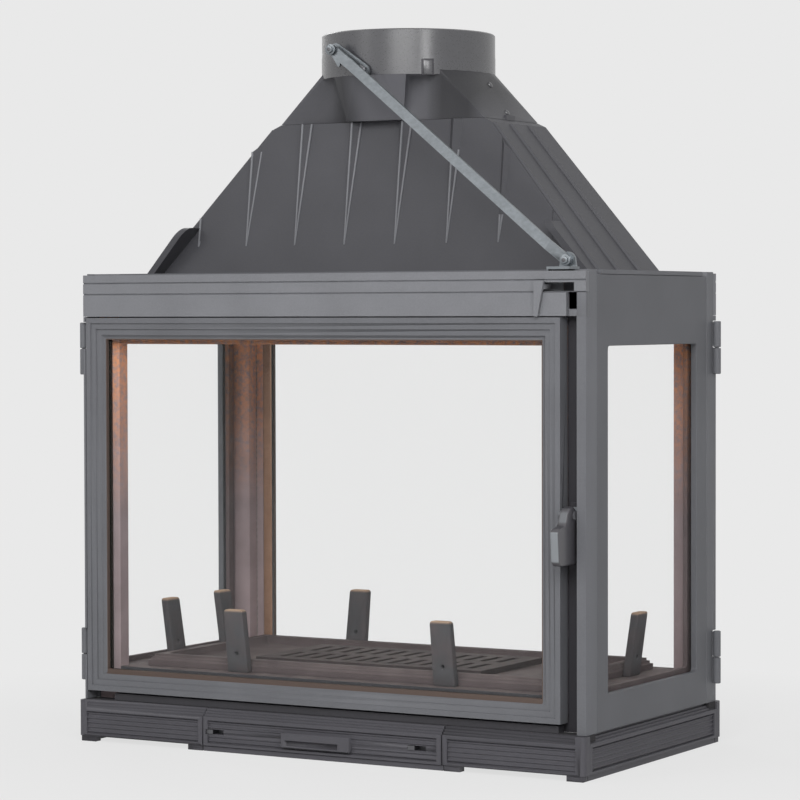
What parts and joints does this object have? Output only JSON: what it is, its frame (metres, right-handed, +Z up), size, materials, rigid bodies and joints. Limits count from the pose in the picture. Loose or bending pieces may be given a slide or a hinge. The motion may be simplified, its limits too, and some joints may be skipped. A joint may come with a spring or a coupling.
{
  "type": "wood-burning fireplace insert",
  "caption": "See-through cast iron fireplace insert with hinged glass doors front and rear, side windows, a pull-out ash drawer, a ribbed smoke hood and a lever-worked flue damper.",
  "frame": {"origin": "on the floor, under the middle of the body", "axes": "+Z up, -Y towards the front with the ash drawer, +X to the right as seen from the front"},
  "size_m": [0.7196, 0.4412, 0.879],
  "materials": {
    "anthracite_paint": "satin anthracite-grey stove paint over sand-cast iron",
    "bare_cast_iron": "bare casting, brown with light rust",
    "zinc_plate": "bright zinc plate, satin",
    "dark_steel": "plain mill-finish steel, grey",
    "ceramic_glass": "clear heat-resisting glass",
    "glass_fibre_rope": "grey glass fibre rope seal"
  },
  "bodies": {
    "stove": {"base_casting": "bare_cast_iron", "column_front_left": "anthracite_paint", "column_front_right": "anthracite_paint", "column_rear_left": "anthracite_paint", "column_rear_right": "anthracite_paint", "drawer_lip": "anthracite_paint", "drawer_runner_left": "dark_steel", "drawer_runner_right": "dark_steel", "fire_grate": "bare_cast_iron", "flue_box": "anthracite_paint", "flue_collar": "anthracite_paint", "front_hinge_pin_lower": "dark_steel", "front_hinge_pin_upper": "dark_steel", "hearth_tray": "bare_cast_iron", "hood": "anthracite_paint", "lintel_front": "anthracite_paint", "lintel_rear": "anthracite_paint", "log_post_front_left": "bare_cast_iron", "log_post_front_right": "bare_cast_iron", "log_post_left_front": "bare_cast_iron", "log_post_left_rear": "bare_cast_iron", "log_post_rear_left": "bare_cast_iron", "log_post_rear_right": "bare_cast_iron", "log_post_right_front": "bare_cast_iron", "log_post_right_rear": "bare_cast_iron", "plinth_front_left": "anthracite_paint", "plinth_front_right": "anthracite_paint", "plinth_left": "anthracite_paint", "plinth_rear": "anthracite_paint", "plinth_right": "anthracite_paint", "rear_hinge_pin_lower": "dark_steel", "rear_hinge_pin_upper": "dark_steel", "side_glass_left": "ceramic_glass", "side_glass_retainer_left": "bare_cast_iron", "side_glass_retainer_right": "bare_cast_iron", "side_glass_right": "ceramic_glass", "side_panel_left": "anthracite_paint", "side_panel_right": "anthracite_paint", "smoke_baffle": "bare_cast_iron", "top_plate": "anthracite_paint"},
    "front_door": {"front_door_frame": "anthracite_paint", "front_door_glass": "ceramic_glass", "front_door_retainer": "dark_steel", "front_door_seal": "glass_fibre_rope"},
    "front_handle": {"front_handle": "anthracite_paint"},
    "rear_door": {"rear_door_frame": "anthracite_paint", "rear_door_glass": "ceramic_glass", "rear_door_retainer": "dark_steel", "rear_door_seal": "glass_fibre_rope"},
    "rear_handle": {"rear_handle": "anthracite_paint"},
    "ash_drawer": {"ash_drawer_front": "anthracite_paint", "ash_pan": "dark_steel"},
    "air_slide": {"air_slide": "dark_steel"},
    "damper": {"damper_shaft": "zinc_plate", "damper_flap": "bare_cast_iron", "damper_crank": "zinc_plate"},
    "tie_bar": {"tie_bar": "zinc_plate"},
    "control_lever": {"control_lever": "zinc_plate"}
  },
  "joints": [
    {"name": "front_door_hinge", "type": "hinge", "parent": "stove", "child": "front_door", "pos_m": [-0.355, -0.172, 0.063], "axis": [0, 0, -1], "range_deg": [0, 110]},
    {"name": "front_handle_turn", "type": "hinge", "parent": "front_door", "child": "front_handle", "pos_m": [0.3295, -0.178, 0.303], "axis": [-1, 0, 0], "range_deg": [0, 70]},
    {"name": "rear_door_hinge", "type": "hinge", "parent": "stove", "child": "rear_door", "pos_m": [0.355, 0.172, 0.063], "axis": [0, 0, -1], "range_deg": [0, 110]},
    {"name": "rear_handle_turn", "type": "hinge", "parent": "rear_door", "child": "rear_handle", "pos_m": [-0.3295, 0.178, 0.303], "axis": [1, 0, 0], "range_deg": [0, 70]},
    {"name": "ash_drawer_slide", "type": "slide", "parent": "stove", "child": "ash_drawer", "axis": [0, -1, 0], "range_m": [0, 0.25]},
    {"name": "air_slide_travel", "type": "slide", "parent": "ash_drawer", "child": "air_slide", "axis": [1, 0, 0], "range_m": [0, 0.015]},
    {"name": "damper_turn", "type": "hinge", "parent": "stove", "child": "damper", "pos_m": [0, 0.028, 0.8275], "axis": [0, 1, 0], "range_deg": [0, 68.3]},
    {"name": "lever_slide", "type": "slide", "parent": "stove", "child": "control_lever", "axis": [1, 0, 0], "range_m": [0, 0.035]},
    {"name": "tie_bar_pivot", "type": "hinge", "parent": "damper", "child": "tie_bar", "pos_m": [-0.037, -0.0925, 0.8546], "axis": [0, 1, 0], "range_deg": [-65.5, 0]}
  ],
  "couplings": [
    {"joint": "lever_slide", "follows": "damper_turn", "m_per_rad": 0.0293},
    {"joint": "tie_bar_pivot", "follows": "damper_turn", "ratio": -0.9577}
  ]
}
